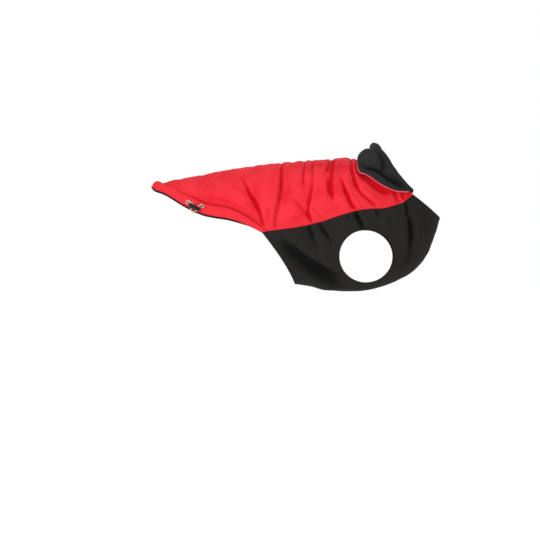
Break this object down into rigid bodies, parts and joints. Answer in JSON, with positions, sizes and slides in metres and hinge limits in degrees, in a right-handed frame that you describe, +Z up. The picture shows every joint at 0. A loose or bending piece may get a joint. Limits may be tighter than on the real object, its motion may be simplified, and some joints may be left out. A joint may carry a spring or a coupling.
{
  "type": "dog jacket",
  "caption": "Pull-on dog jacket with a padded back, a soft chest panel with armholes, a turned-down collar and an elastic rear hem with cord locks, in its worn form.",
  "frame": {"origin": "inner face of the back's lining over the withers, on the centre plane, where the wearer's back carries the jacket", "axes": "+X forward towards the neck, +Z up, the jacket's right side at -Y"},
  "size_m": [0.5774, 0.2076, 0.2979],
  "materials": {
    "shell": "woven nylon, padded, soft sheen",
    "casing": "woven nylon, gathered over the cord",
    "lining": "short fleece, matte",
    "chest": "soft shell, matte",
    "collar": "fleece, matte",
    "piping": "thin round piping, satin",
    "eyelet": "plated, rounded lip",
    "lock": "moulded, fine grain",
    "button": "moulded, fine grain",
    "cord": "braided elastic cord"
  },
  "bodies": {
    "root": {"back_panel": "shell", "rear_hem_casing": "casing", "back_lining": "lining", "chest_panel": "chest", "collar": "collar", "collar_piping": "piping", "hem_eyelet_front_right": "eyelet", "hem_eyelet_front_left": "eyelet", "hem_eyelet_rear_right": "eyelet", "hem_eyelet_rear_left": "eyelet", "cord_lock_right": "lock", "cord_lock_left": "lock", "cord_lock_button_right": "button", "cord_lock_button_left": "button", "hem_cord_right": "cord", "hem_cord_left": "cord"}
  },
  "joints": []
}
